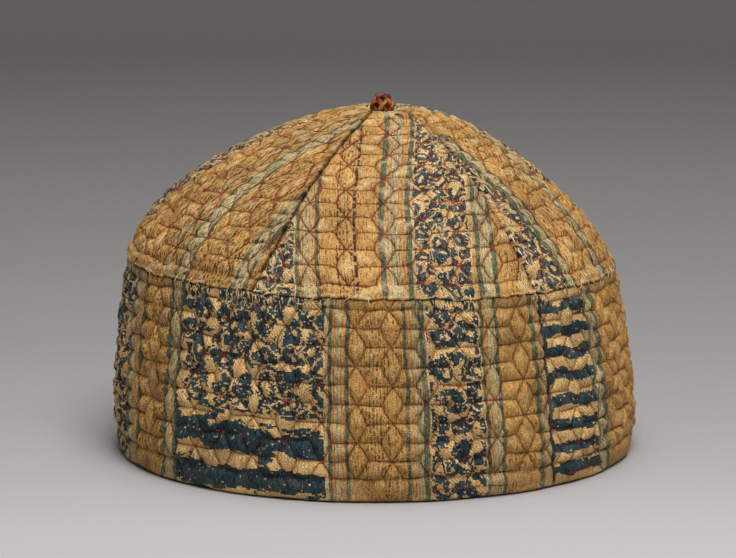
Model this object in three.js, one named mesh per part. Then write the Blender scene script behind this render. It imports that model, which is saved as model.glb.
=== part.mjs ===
// A quilted cap of striped silk: a padded band, a crown of six padded gores and a knotted cord button.
// Units are millimetres, +Z is up, the front faces -Y, and the origin is the middle of the rim's underside.
// An azimuth is measured from the front, towards +X.
import * as THREE from "three";

// Driving dimensions
const bandRadius = 95; // outside of the band, where it is fullest
const crownRadius = 88.6; // outside of the crown's lower edge
const bandHeight = 68.8;
const crownHeight = 54.6;
const topDip = 1; // how far the cloth dips round the button
const wall = 4.5; // two cloths with their wadding
const seamGap = 0.3; // between pieces that are sewn together
const lip = 0.9; // how far the crown's folded edge stands out over the band
const lipHeight = 2.4;
const hemHeight = 8.4; // from the rim to the lowest row of quilting
const hemRounding = 0.8;
const firstCrownRow = 5.3; // from the crown's lower edge to its lowest row of quilting
const rowPitch = 6.4; // from one row of quilting to the next, on the band
const crownRowPitch = 6.55;
const topStrip = 2; // least cloth that is left above the last row
const quiltCrest = 0.35; // how far a puff stands out
const quiltDip = 0.75; // how far a line of stitches draws in
const ovalShare = 0.5; // share of the crest that is left in the middle of a pointed oval
const goreFullness = 1.5; // how far a gore swells between its two seams
const crownLean = 2.6; // how far the crown's middles stray from the band's
const seamDrop = 0.024; // slope of the crown's seam, down towards +X
const buttonHole = 2.9; // radius of the hole where the gores meet
const knotRadius = 4.7;
const knotHeight = 7.6;
const knotTurns = 5; // turns of cord that show round the knot
const knotRelief = 0.35; // how far each turn stands out
const shankEnd = 1.5; // how far the knot's shank shows inside the crown

// Counts and angles
const chains = 48; // upright chains of pointed ovals round the band
const goreCount = 6;
const goreColumns = 6; // faces across a gore
const knotColumns = 20;
const firstSeam = THREE.MathUtils.degToRad(-20);
const seamKick = THREE.MathUtils.degToRad(8); // how far the first seam bends sideways at the band
const seamKickSpread = THREE.MathUtils.degToRad(30);

// The band's sections: height as a share of the band's, swell as a share of what the band is wider than the crown,
// and lean as a share of the crown's.
const bandSections = [
  { height: 0, swell: 0.63, lean: 0 },
  { height: 0.22, swell: 1, lean: -0.1 },
  { height: 0.6, swell: 0.63, lean: -0.3 },
  { height: 1, swell: 0, lean: -0.5 },
];

// The crown's sections: height and radius as shares of the crown's, and lean as above.
const crownSections = [
  { height: 0, radius: 1, lean: -0.5 },
  { height: 0.2, radius: 0.937, lean: -0.9 },
  { height: 0.4, radius: 0.835, lean: -1 },
  { height: 0.6, radius: 0.69, lean: -0.8 },
  { height: 0.81, radius: 0.48, lean: 0.1 },
  { height: 0.945, radius: 0.285, lean: 0.9 },
  { height: 1, radius: 0.15, lean: 1 },
];

const crownTop = bandHeight + crownHeight;
const holeTop = crownTop - topDip;

// A curve through sections whose x is the radius, y the height and z the lean.
function meridian(points) {
  return new THREE.CatmullRomCurve3(points, false, "catmullrom", 0.5);
}

const bandMeridian = meridian(
  bandSections.map(
    (s) =>
      new THREE.Vector3(
        crownRadius + s.swell * (bandRadius - crownRadius),
        s.height * bandHeight,
        s.lean * crownLean,
      ),
  ),
);

const crownMeridian = meridian([
  ...crownSections.map(
    (s) => new THREE.Vector3(s.radius * crownRadius, bandHeight + s.height * crownHeight, s.lean * crownLean),
  ),
  new THREE.Vector3(buttonHole, holeTop, crownLean),
]);

// Lean at a height, read off the two meridians.
const leanTable = [...bandMeridian.getSpacedPoints(60), ...crownMeridian.getSpacedPoints(120).slice(1)];
function leanAt(height) {
  const above = leanTable.findIndex((p) => p.y >= height);
  if (above < 0) return crownLean;
  if (above === 0) return leanTable[0].z;
  const low = leanTable[above - 1];
  const high = leanTable[above];
  return THREE.MathUtils.mapLinear(height, low.y, high.y, low.z, high.z);
}

// 1 at the crown's seam, fading to 0 at the rim and at the top
function seamShare(height) {
  return height <= bandHeight ? height / bandHeight : Math.max(0, (crownTop - height) / crownHeight);
}

// Turns a body that was swept round the height axis into the cap's own form, and stands it on +Z.
// shape(azimuth, height, radius) gives the change of radius there, and the first seam's bend is followed.
function form(geometry, shape = () => 0) {
  const position = geometry.getAttribute("position");
  for (let i = 0; i < position.count; i++) {
    const height = position.getY(i);
    const swept = Math.atan2(position.getX(i), position.getZ(i));
    const plain = Math.hypot(position.getX(i), position.getZ(i));
    const radius = plain + shape(swept, height, plain);
    const fromSeam = Math.atan2(Math.sin(swept - firstSeam), Math.cos(swept - firstSeam));
    const bend = height > bandHeight ? seamKick * Math.exp(-((fromSeam / seamKickSpread) ** 2)) : 0;
    const azimuth = swept - bend * seamShare(height) ** 2;
    const x = radius * Math.sin(azimuth) + leanAt(height);
    position.setXYZ(i, x, -radius * Math.cos(azimuth), height - seamDrop * x * seamShare(height));
  }
  return geometry;
}

// Sweeps a closed profile, which runs up the outside and down the inside, and closes it into one body.
function sweep(profile, columns, start = 0, length = 2 * Math.PI) {
  const geometry = new THREE.LatheGeometry(profile, columns, start, length);
  const index = [...geometry.index.array];
  const size = profile.length;
  for (let i = 0; i < columns; i++) {
    const [top, nextTop] = [i * size + size - 1, (i + 1) * size + size - 1];
    const [first, nextFirst] = [i * size, (i + 1) * size];
    index.push(top, nextTop, first, nextFirst, first, nextTop);
  }
  if (length < 2 * Math.PI) {
    const end = columns * size;
    for (const [a, b, c] of THREE.ShapeUtils.triangulateShape(profile, []))
      index.push(a, b, c, end + a, end + c, end + b);
  }
  return geometry.setIndex(index);
}

// Distances along a meridian for the faces of its quilting: each row of stitches and each puff's middle.
function quiltLevels(length, firstRow, pitch) {
  const rows = Math.floor((length - firstRow - topStrip) / pitch);
  const levels = [{ at: firstRow / 2, row: null }];
  for (let row = 0; row <= rows; row++) {
    levels.push({ at: firstRow + row * pitch, row });
    if (row < rows) levels.push({ at: firstRow + (row + 0.5) * pitch, row: null });
  }
  return levels;
}

// The band: a ring whose rows of puffs are broken up by chains of pointed ovals
function bandGeometry() {
  const length = bandMeridian.getLength();
  const levels = quiltLevels(length, hemHeight, rowPitch);
  const at = (distance) => bandMeridian.getPointAt(distance / length);
  const rim = at(0);
  const edge = at(length);
  const outside = [
    new THREE.Vector2(rim.x - hemRounding, 0),
    new THREE.Vector2(rim.x, hemRounding),
    ...levels.map(({ at: distance, row }) => {
      const p = at(distance);
      return new THREE.Vector2(p.x + (row === null ? quiltCrest : -quiltDip), p.y);
    }),
    new THREE.Vector2(edge.x, edge.y),
  ];
  const inside = [edge, ...[0.6, 0.22, 0].map((share) => at(share * length))].map(
    (p) => new THREE.Vector2(p.x - wall, p.y),
  );
  const profile = [...outside, ...inside];
  const columns = 2 * chains;
  const geometry = sweep(profile, columns, 0);
  // Every other column runs through a chain, where a row is stitched at a crossing and free inside an oval.
  const position = geometry.getAttribute("position");
  levels.forEach(({ row }, k) => {
    for (let column = 1; row !== null && column < columns; column += 2) {
      if ((row + (column - 1) / 2) % 2 === 1) continue;
      const i = column * profile.length + 2 + k;
      const radius = Math.hypot(position.getX(i), position.getZ(i));
      const grown = (radius + quiltDip + ovalShare * quiltCrest) / radius;
      position.setXYZ(i, position.getX(i) * grown, position.getY(i), position.getZ(i) * grown);
    }
  });
  return form(geometry);
}

// A gore: a wedge of the crown, quilted in rows, that swells between its two seams
function goreGeometry(start, length) {
  const whole = crownMeridian.getLength();
  const at = (distance) => crownMeridian.getPointAt(distance / whole);
  const lifted = (p) => Math.max(p.y, bandHeight + seamGap);
  const outside = [
    new THREE.Vector2(crownRadius, bandHeight + seamGap),
    new THREE.Vector2(at(lipHeight / 2).x + lip, lifted(at(lipHeight / 2))),
    ...quiltLevels(whole, firstCrownRow, crownRowPitch).map(({ at: distance, row }) => {
      const p = at(distance);
      return new THREE.Vector2(p.x + (row === null ? quiltCrest : -quiltDip), lifted(p));
    }),
    new THREE.Vector2(buttonHole, holeTop),
  ];
  // The lining follows the same meridian, drawn in by the wall at the seam and at the top.
  const liningWidth = (crownRadius - wall - buttonHole) / (crownRadius - buttonHole);
  const liningHeight = (crownHeight - wall) / crownHeight;
  const inside = [1, 0.88, 0.74, 0.6, 0.45, 0.3, 0.15, 0].map((share) => {
    const p = at(share * whole);
    return new THREE.Vector2(
      buttonHole + (p.x - buttonHole) * liningWidth,
      Math.max(bandHeight + (p.y - bandHeight) * liningHeight, bandHeight + seamGap),
    );
  });
  const geometry = sweep([...outside, ...inside], goreColumns, start, length);
  const middle = start + length / 2;
  form(geometry, (azimuth, height, radius) => {
    const off = Math.atan2(Math.sin(azimuth - middle), Math.cos(azimuth - middle)) / (length / 2);
    const rise = Math.min(1, (4 * (height - bandHeight)) / crownHeight, (2 * (radius - buttonHole)) / crownRadius);
    return -goreFullness * off ** 4 * Math.max(0, rise);
  });
  return trimSeams(geometry, goreColumns);
}

// Draws a gore's two end columns in by half the gap between pieces.
function trimSeams(geometry, columns) {
  const position = geometry.getAttribute("position");
  const size = position.count / (columns + 1);
  for (const [edge, next] of [[0, 1], [columns, columns - 1]]) {
    for (let j = 0; j < size; j++) {
      const here = new THREE.Vector3().fromBufferAttribute(position, edge * size + j);
      const inner = new THREE.Vector3().fromBufferAttribute(position, next * size + j);
      const across = inner.sub(here).setZ(0).normalize();
      position.setXYZ(edge * size + j, here.x + across.x * seamGap / 2, here.y + across.y * seamGap / 2, here.z);
    }
  }
  return geometry;
}

// The knotted button: a ball of cord turns on a shank through the hole where the gores meet
function knotGeometry() {
  const shankRadius = buttonHole - seamGap;
  const seat = holeTop + seamGap;
  const end = holeTop - wall - shankEnd;
  const profile = [
    new THREE.Vector2(0, end),
    new THREE.Vector2(shankRadius, end),
    new THREE.Vector2(shankRadius, holeTop - wall),
    new THREE.Vector2(shankRadius, holeTop - wall / 2),
  ];
  const steps = 9;
  const low = Math.asin(Math.min(0.95, shankRadius / knotRadius));
  for (let k = 0; k <= steps; k++) {
    const turn = THREE.MathUtils.lerp(low, Math.PI, k / steps);
    const drop = (Math.cos(low) - Math.cos(turn)) / (Math.cos(low) + 1);
    const radius = k < steps ? knotRadius * Math.sin(turn) : 0;
    profile.push(new THREE.Vector2(k ? radius : shankRadius, seat + drop * knotHeight));
  }
  const geometry = new THREE.LatheGeometry(profile, knotColumns);
  const position = geometry.getAttribute("position");
  for (let i = 0; i < position.count; i++) {
    const [x, y, z] = [position.getX(i), position.getY(i), position.getZ(i)];
    const share = (y - seat) / knotHeight;
    const radius = Math.hypot(x, z);
    if (share <= 0 || share >= 1 || radius < 1e-6) continue;
    const wound = Math.cos(knotTurns * Math.atan2(x, z) + 2 * Math.PI * share);
    const grown = 1 + (knotRelief * wound * Math.sin(Math.PI * share)) / radius;
    position.setXYZ(i, x * grown, y, z * grown);
  }
  for (let i = 0; i < position.count; i++) {
    const height = position.getY(i);
    position.setXYZ(i, position.getX(i) + leanAt(height), -position.getZ(i), height);
  }
  return geometry;
}

const silk = new THREE.MeshStandardMaterial({ color: 0xb3925a, roughness: 0.75, metalness: 0 });
const cord = new THREE.MeshStandardMaterial({ color: 0x8a5a33, roughness: 0.6, metalness: 0 });

function piece(name, geometry, material) {
  const mesh = new THREE.Mesh(geometry, material);
  mesh.name = name;
  return mesh;
}

const cap = new THREE.Group();
cap.add(piece("band", bandGeometry(), silk));
for (let k = 0; k < goreCount; k++) {
  const width = (2 * Math.PI) / goreCount;
  cap.add(piece(`gore_${k + 1}`, goreGeometry(firstSeam + k * width, width), silk));
}
cap.add(piece("knot_button", knotGeometry(), cord));

export default cap;
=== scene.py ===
import math
import bpy
import numpy as np
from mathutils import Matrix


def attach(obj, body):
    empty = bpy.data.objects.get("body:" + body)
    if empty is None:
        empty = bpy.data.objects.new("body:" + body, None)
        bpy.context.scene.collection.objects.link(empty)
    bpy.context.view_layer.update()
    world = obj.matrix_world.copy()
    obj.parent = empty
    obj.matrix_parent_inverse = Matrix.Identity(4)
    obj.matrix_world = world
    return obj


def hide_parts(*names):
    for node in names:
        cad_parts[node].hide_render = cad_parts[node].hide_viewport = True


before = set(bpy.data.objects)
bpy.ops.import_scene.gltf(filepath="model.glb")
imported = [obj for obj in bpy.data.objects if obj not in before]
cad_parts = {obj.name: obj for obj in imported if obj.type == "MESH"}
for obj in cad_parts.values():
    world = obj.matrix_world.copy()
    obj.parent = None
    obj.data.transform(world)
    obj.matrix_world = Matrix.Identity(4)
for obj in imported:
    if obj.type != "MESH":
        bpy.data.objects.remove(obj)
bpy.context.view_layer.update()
bpy.ops.object.select_all(action="DESELECT")

# A quilted cap of striped silk: a padded band, six padded gores and a knotted cord button.
# The cap's own sizes are millimetres and become metres as a mesh is made. Azimuths are radians from the
# front, towards +X.
MM = 0.001
BAND_RADIUS = 95.0
CROWN_RADIUS = 88.6
BAND_HEIGHT = 68.8
CROWN_HEIGHT = 54.6
CROWN_TOP = BAND_HEIGHT + CROWN_HEIGHT
HOLE_TOP = CROWN_TOP - 1
WALL = 4.5
BUTTON_HOLE = 2.9
CROWN_LEAN = 2.6
SEAM_DROP = 0.024
FIRST_SEAM = math.radians(-20)
SEAM_KICK = math.radians(8)
SEAM_KICK_SPREAD = math.radians(30)
GORES = 6
GORE_WIDTH = 2 * math.pi / GORES
GORE_FULLNESS = 1.5

# Rows of quilting, and chains of pointed ovals that break them
HEM = 8.4
ROW_PITCH = 6.4
BAND_ROWS = 9
CHAINS = 48
FIRST_CHAIN = math.radians(3.75)
CHAIN_PITCH = 2 * math.pi / CHAINS * BAND_RADIUS
CROWN_FIRST_ROW = 5.3
CROWN_ROW_PITCH = 6.55
CROWN_ROWS = 13
CROWN_CHAIN_PITCH = 13.0
OVAL_WIDTH = 3.8  # half of an oval's widest

# The band's and the crown's sections: radius, height and lean
WAIST_RADIUS = CROWN_RADIUS + 0.63 * (BAND_RADIUS - CROWN_RADIUS)
BAND_SECTIONS = [
    (WAIST_RADIUS, 0, 0),
    (BAND_RADIUS, 0.22 * BAND_HEIGHT, -0.1 * CROWN_LEAN),
    (WAIST_RADIUS, 0.6 * BAND_HEIGHT, -0.3 * CROWN_LEAN),
    (CROWN_RADIUS, BAND_HEIGHT, -0.5 * CROWN_LEAN),
]
CROWN_SECTIONS = [
    (CROWN_RADIUS, BAND_HEIGHT, -0.5 * CROWN_LEAN),
    (0.937 * CROWN_RADIUS, BAND_HEIGHT + 0.2 * CROWN_HEIGHT, -0.9 * CROWN_LEAN),
    (0.835 * CROWN_RADIUS, BAND_HEIGHT + 0.4 * CROWN_HEIGHT, -1 * CROWN_LEAN),
    (0.69 * CROWN_RADIUS, BAND_HEIGHT + 0.6 * CROWN_HEIGHT, -0.8 * CROWN_LEAN),
    (0.48 * CROWN_RADIUS, BAND_HEIGHT + 0.81 * CROWN_HEIGHT, 0.1 * CROWN_LEAN),
    (0.285 * CROWN_RADIUS, BAND_HEIGHT + 0.945 * CROWN_HEIGHT, 0.9 * CROWN_LEAN),
    (0.15 * CROWN_RADIUS, CROWN_TOP, CROWN_LEAN),
    (BUTTON_HOLE, HOLE_TOP, CROWN_LEAN),
]


class Meridian:
    """A smooth curve up the cap's side, read by the distance along it."""

    def __init__(self, sections, steps=60):
        p = np.array(sections, float)
        p = np.vstack([2 * p[0] - p[1], p, 2 * p[-1] - p[-2]])
        t = np.linspace(0, 1, steps, endpoint=False)[:, None]
        runs = []
        for k in range(1, len(p) - 2):
            before, start, end, after = p[k - 1 : k + 3]
            out, into = (end - before) / 2, (after - start) / 2
            runs.append(
                (2 * t**3 - 3 * t**2 + 1) * start
                + (t**3 - 2 * t**2 + t) * out
                + (3 * t**2 - 2 * t**3) * end
                + (t**3 - t**2) * into
            )
        self.points = np.vstack(runs + [p[-2][None]])
        step = np.hypot(*np.diff(self.points[:, :2], axis=0).T)
        self.distance = np.concatenate([[0], np.cumsum(step)])
        self.length = self.distance[-1]
        slope = np.gradient(self.points[:, :2], self.distance, axis=0)
        slope /= np.linalg.norm(slope, axis=1)[:, None]
        self.outward = np.stack([slope[:, 1], -slope[:, 0]], 1)

    def read(self, distance, column):
        return np.interp(distance, self.distance, column)

    def radius(self, distance):
        return self.read(distance, self.points[:, 0])

    def height(self, distance):
        return self.read(distance, self.points[:, 1])

    def lifted(self, distance, lift):
        """Radius and height of a point that stands off the curve by lift."""
        return (
            self.radius(distance) + lift * self.read(distance, self.outward[:, 0]),
            self.height(distance) + lift * self.read(distance, self.outward[:, 1]),
        )


BAND = Meridian(BAND_SECTIONS)
CROWN = Meridian(CROWN_SECTIONS)
LEANS = np.vstack([BAND.points, CROWN.points[1:]])[:, 1:]
LEANS = LEANS[: np.argmax(LEANS[:, 0]) + 1]


def waves(azimuth, rise, seed, reach=1.0):
    """A soft, seamless unevenness between -1 and 1 round the cap; reach stretches its waves."""
    rng = np.random.default_rng(seed)
    total = 0
    for turns, pitch in ((3, 0.05), (7, 0.09), (13, 0.15), (23, 0.22), (37, 0.36)):
        turns = max(1, round(turns / reach))
        sign = rng.choice([-1, 1])
        start = rng.uniform(0, 2 * math.pi)
        share = rng.uniform(0.6, 1)
        total = total + share * np.sin(turns * azimuth + sign * pitch / reach * rise + start)
    return total / 2.6


def seam_bend(azimuth, share):
    """How far the first seam bends the crown sideways; share is 1 at the band and 0 at the top."""
    from_seam = (azimuth - FIRST_SEAM + math.pi) % (2 * math.pi) - math.pi
    return SEAM_KICK * np.exp(-((from_seam / SEAM_KICK_SPREAD) ** 2)) * share**2


def form(azimuth, radius, height, bent=False):
    """Cap coordinates of a point swept round the axis, as in the solids, with a hand-made unevenness."""
    share = np.where(
        height <= BAND_HEIGHT, height / BAND_HEIGHT, np.clip((CROWN_TOP - height) / CROWN_HEIGHT, 0, None)
    )
    if bent:
        azimuth = azimuth - seam_bend(azimuth, share)
    uneven = 0.45 * waves(azimuth, height, 3, 1.6)
    radius = radius + uneven * np.clip(radius / 30, 0, 1) * np.clip(height / 10, 0, 1)
    x = radius * np.sin(azimuth) + np.interp(height, LEANS[:, 0], LEANS[:, 1])
    hang = 0.55 * waves(azimuth, 0, 75, 0.4) * np.exp(-(((height - BAND_HEIGHT) / 9) ** 2))
    return np.stack([x, -radius * np.cos(azimuth), height + hang - SEAM_DROP * x * share], -1)


def rounded(distance, size):
    """How far a turned edge of this size draws in at a distance from its end."""
    left = np.clip(size - distance, 0, size)
    return size - np.sqrt(size**2 - left**2)


def swell(distance, reach):
    """0 at a line of stitches, rising to 1 at reach, as wadding does."""
    return (1 - (1 - np.clip(distance / reach, 0, 1)) ** 2) ** 0.65


def oval_share(rows):
    """Half width of a pointed oval as a share of its widest, rows above a crossing."""
    point = 1 - np.abs(np.mod(rows, 2) - 1)
    return 0.6 * np.abs(np.sin(np.pi * rows / 2)) + 0.4 * point


def quilting(chain, row, chain_pitch, row_pitch, last_row):
    """Height of the wadding between the stitch lines, 0 to 1, at a place in chains and rows."""
    nearest = np.floor(chain + 0.5)
    aside = np.abs(chain - nearest) * chain_pitch
    half = OVAL_WIDTH * oval_share(row + nearest - 1)
    inside = (aside < half) & (row > -0.02) & (row < last_row + 0.02)
    to_row = np.abs(row - np.floor(row + 0.5)) * row_pitch
    to_edge = np.abs(aside - half) * 0.8
    ends = np.minimum(np.abs(row), np.abs(row - last_row)) * row_pitch
    beyond = (row < 0) | (row > last_row)
    puff = np.where(inside, 0.92 * swell(to_edge, 2.8), swell(to_edge, 3.0) * swell(to_row, 3.2))
    puff = np.where(inside, puff * swell(ends, 2.6), puff)
    puff = np.where(beyond, swell(ends, 3.2), puff)
    cell = np.floor(row) * 7.1 + nearest * 3.7 + inside * 1.9 + np.sign(chain - nearest) * 5.3
    return puff * (0.9 + 0.16 * np.sin(cell * 12.9898))


def to_mesh(name, columns, loop, place, maps, linings):
    """A padded body from a flat grid: columns across it and loop round its section. place gives the vertices
    in millimetres and maps the corners' cloth coordinates, both from shares 0 to 1 of the two directions."""
    bpy.ops.object.select_all(action="DESELECT")
    bpy.ops.mesh.primitive_grid_add(x_subdivisions=columns, y_subdivisions=loop, size=1, calc_uvs=True)
    piece = bpy.context.active_object
    piece.name = name
    mesh = piece.data
    mesh.name = name
    flat = np.empty(len(mesh.vertices) * 3, np.float32)
    mesh.vertices.foreach_get("co", flat)
    flat = flat.reshape(-1, 3).astype(float) + 0.5
    mesh.vertices.foreach_set("co", (place(flat[:, 0], flat[:, 1]) * MM).astype(np.float32).ravel())
    mesh.uv_layers[0].name = "OFBake"
    corners = np.empty(len(mesh.loops) * 2, np.float32)
    mesh.uv_layers["OFBake"].uv.foreach_get("vector", corners)
    corners = corners.reshape(-1, 2).astype(float)
    sheets = np.zeros(len(mesh.polygons), np.int32)
    level = corners[:, 1].reshape(-1, 4).mean(1)
    sheets[(level > linings[0]) & (level < linings[1])] = 1
    mesh.polygons.foreach_set("material_index", sheets)
    for key, values in maps(corners[:, 0], corners[:, 1]).items():
        layer = mesh.uv_layers.new(name=key, do_init=False)
        layer.uv.foreach_set("vector", np.stack(values, 1).astype(np.float32).ravel())
    bpy.ops.object.mode_set(mode="EDIT")
    bpy.ops.mesh.select_all(action="SELECT")
    bpy.ops.mesh.remove_doubles(threshold=2e-7)
    bpy.ops.mesh.select_all(action="DESELECT")
    bpy.ops.mesh.select_mode(type="EDGE")
    bpy.ops.mesh.select_non_manifold(
        extend=False, use_wire=False, use_multi_face=False, use_non_contiguous=False, use_verts=False
    )
    bpy.ops.mesh.fill_holes(sides=0)
    bpy.ops.mesh.select_all(action="SELECT")
    bpy.ops.mesh.normals_make_consistent(inside=False)
    bpy.ops.mesh.select_mode(type="VERT")
    bpy.ops.mesh.select_all(action="DESELECT")
    bpy.ops.object.mode_set(mode="OBJECT")
    bpy.ops.object.shade_smooth()
    return piece


# The band

def loop_path(points, loop):
    """Reads a section's path by its share: (distance, depth) points, with depth 0 outside and 1 inside."""
    points = np.array(points, float)
    return lambda share: (
        np.interp(share * loop, np.arange(len(points)), points[:, 0]),
        np.interp(share * loop, np.arange(len(points)), points[:, 1]),
    )


def band_path():
    top = BAND.length - 0.15
    outside = [(d, 0) for d in np.linspace(0, top, 90)]
    edge = [(top, depth) for depth in (0.25, 0.5, 0.75)]
    inside = [(d, 1) for d in np.linspace(top, 0, 26)]
    rim = [(0, depth) for depth in (0.75, 0.5, 0.25, 0)]
    return outside + edge + inside + rim


BAND_PATH = band_path()
BAND_LOOPS = len(BAND_PATH) - 1
BAND_COLUMNS = 768
BAND_LINING = (93.5 / BAND_LOOPS, 117.5 / BAND_LOOPS)  # share of the path that the lining covers
read_band = loop_path(BAND_PATH, BAND_LOOPS)


def band_pattern(azimuth, distance):
    """Chain and row of a place on the band, with the hand's unevenness."""
    aside, up = azimuth, distance
    for _ in range(3):
        aside = azimuth - 0.006 * waves(azimuth, up, 11)
        up = distance - 0.5 * waves(aside, distance, 12)
    return (aside - FIRST_CHAIN) * CHAINS / (2 * math.pi), (up - HEM) / ROW_PITCH


def band_place(chain, row):
    """Azimuth and distance of a chain and row, the reverse of band_pattern."""
    aside = chain * 2 * math.pi / CHAINS + FIRST_CHAIN
    up = row * ROW_PITCH + HEM
    for _ in range(3):
        azimuth = aside + 0.006 * waves(aside, up, 11)
        up_there = row * ROW_PITCH + HEM + 0.5 * waves(aside, up, 12)
    return azimuth, up_there


def band_puff(azimuth, distance):
    chain, row = band_pattern(azimuth, distance)
    return quilting(chain, row, CHAIN_PITCH, ROW_PITCH, BAND_ROWS)


def band_relief(azimuth, distance):
    _, row = band_pattern(azimuth, distance)
    lift = -1.25 + 2.1 * band_puff(azimuth, distance)
    strip = np.clip((row - BAND_ROWS) / 0.35, 0, 1)
    return lift * (1 - strip) - 0.25 * strip


def band_point(azimuth, distance, lift):
    radius, height = BAND.lifted(distance, lift)
    return form(azimuth, radius, np.maximum(height, 0))


def place_band(across, loop):
    azimuth = (across - 0.5) * 2 * math.pi
    distance, depth = read_band(loop)
    to_top = BAND.length - 0.1 - distance
    over = band_relief(azimuth, distance) - rounded(distance, 1.6) - rounded(to_top, 0.2)
    under = -WALL + 0.3 - 0.5 * band_puff(azimuth, distance) + rounded(distance, 1.2) + rounded(to_top, 1)
    return band_point(azimuth, distance, over * (1 - depth) + under * depth)


def map_band(across, loop):
    azimuth = (across - 0.5) * 2 * math.pi
    distance, depth = read_band(loop)
    chain, row = band_pattern(azimuth, distance)
    low = np.clip(14 - distance, 0, None)
    right = np.clip((np.degrees(azimuth) - 35) / 20, 0, 1) * np.clip((120 - np.degrees(azimuth)) / 20, 0, 1)
    left = np.clip((-40 - np.degrees(azimuth)) / 15, 0, 1) * np.clip((120 + np.degrees(azimuth)) / 20, 0, 1)
    q = azimuth * BAND_RADIUS + 0.45 * waves(azimuth, distance, 21) - 0.35 * low * right + 0.3 * low * left
    return {"cloth": (q, distance), "quilt": (chain, row), "seam": (BAND.length - distance, distance)}


band = to_mesh("band_cloth", BAND_COLUMNS, BAND_LOOPS, place_band, map_band, BAND_LINING)
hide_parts("band")

# The gores. left and right are how deep an edge turns in at its seam and over how wide a strip, and roll is
# how far a folded right edge stands up. grain is the tilt of the stripes, first the place of one chain of
# ovals, whose crossings fall on odd rows, and puff how plump the wadding is.
GORE_FORMS = [
    {"left": (4.2, 1.5), "right": (1.5, 2.2), "roll": 0, "grain": 0.1, "first": -10, "puff": 1.05},
    {"left": (1.5, 2.4), "right": (1.6, 2.6), "roll": 0, "grain": 0.12, "first": -9, "puff": 1.35},
    {"left": (1.6, 2.6), "right": (1.7, 2.6), "roll": 0, "grain": 0.02, "first": -6, "puff": 1.3},
    {"left": (1.7, 2.6), "right": (1.5, 2.4), "roll": 0, "grain": -0.04, "first": -8, "puff": 1.3},
    {"left": (1.5, 2.4), "right": (1.6, 2.4), "roll": 0, "grain": 0.05, "first": -11, "puff": 1.3},
    {"left": (1.6, 2.4), "right": (2.2, 0.5), "roll": 0.15, "grain": 0.12, "first": -7, "puff": 1.3},
]


def gore_path():
    top = CROWN.length - 0.25
    hem = [(0, 0.12), (0, 0.05)] + [(d, 0) for d in (0.15, 0.5, 0.9)]
    outside = hem + [(d, 0) for d in np.linspace(1.4, top, 118)]
    edge = [(top, depth) for depth in (0.3, 0.65)]
    inside = [(d, 1) for d in np.linspace(top, 0, 30)]
    under = [(0, depth) for depth in (0.75, 0.45, 0.12)]
    return outside + edge + inside + under


GORE_PATH = gore_path()
GORE_LOOPS = len(GORE_PATH) - 1
read_gore = loop_path(GORE_PATH, GORE_LOOPS)
GORE_COLUMNS = 150
GORE_LINING = (125.5 / GORE_LOOPS, 154.5 / GORE_LOOPS)


def across_gore(across):
    """Shares -1 to 1 across a gore, closer together near its two seams."""
    plain = 2 * across - 1
    return plain + 0.16 * np.sin(np.pi * plain)


def half_width(distance):
    return CROWN.radius(distance) * GORE_WIDTH / 2


def gore_azimuth(k, share):
    return FIRST_SEAM + (k + 0.5) * GORE_WIDTH + share * GORE_WIDTH / 2


def gore_bend(azimuth, distance):
    return seam_bend(azimuth, np.clip((CROWN_TOP - CROWN.height(distance)) / CROWN_HEIGHT, 0, 1))


def grain_place(k, share, distance):
    """How far a place on a gore lies across its grain, in millimetres from its middle."""
    azimuth = gore_azimuth(k, share)
    aside = azimuth - gore_bend(azimuth, distance) - gore_azimuth(k, 0)
    return aside * CROWN.radius(distance) - GORE_FORMS[k]["grain"] * distance


def gore_pattern(k, share, distance):
    """Chain and row of a place on a gore, with the hand's unevenness."""
    azimuth = gore_azimuth(k, share)
    q = grain_place(k, share, distance)
    fade = np.clip(half_width(distance) / 12, 0, 1)
    aside = q - 0.7 * waves(azimuth, distance, 40 + k) * fade
    up = distance - 0.7 * waves(azimuth, distance, 50 + k) * fade
    return (aside - GORE_FORMS[k]["first"]) / CROWN_CHAIN_PITCH, (up - CROWN_FIRST_ROW) / CROWN_ROW_PITCH


def gore_puff(k, share, distance):
    chain, row = gore_pattern(k, share, distance)
    return quilting(chain, row, CROWN_CHAIN_PITCH, CROWN_ROW_PITCH, CROWN_ROWS)


def gore_place(k, chain, row):
    """Share and distance of a chain and row on a gore, the reverse of gore_pattern."""
    distance = row * CROWN_ROW_PITCH + CROWN_FIRST_ROW
    share = 0 * distance
    for _ in range(5):
        azimuth = gore_azimuth(k, share)
        fade = np.clip(half_width(distance) / 12, 0, 1)
        uneven = 0.7 * waves(azimuth, distance, 40 + k) * fade
        aside = chain * CROWN_CHAIN_PITCH + GORE_FORMS[k]["first"] + uneven
        across = (aside + GORE_FORMS[k]["grain"] * distance) / CROWN.radius(distance)
        share = (across + gore_bend(azimuth, distance)) / (GORE_WIDTH / 2)
        uneven = 0.7 * waves(azimuth, distance, 50 + k) * fade
        distance = row * CROWN_ROW_PITCH + CROWN_FIRST_ROW + uneven
    return share, distance


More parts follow.
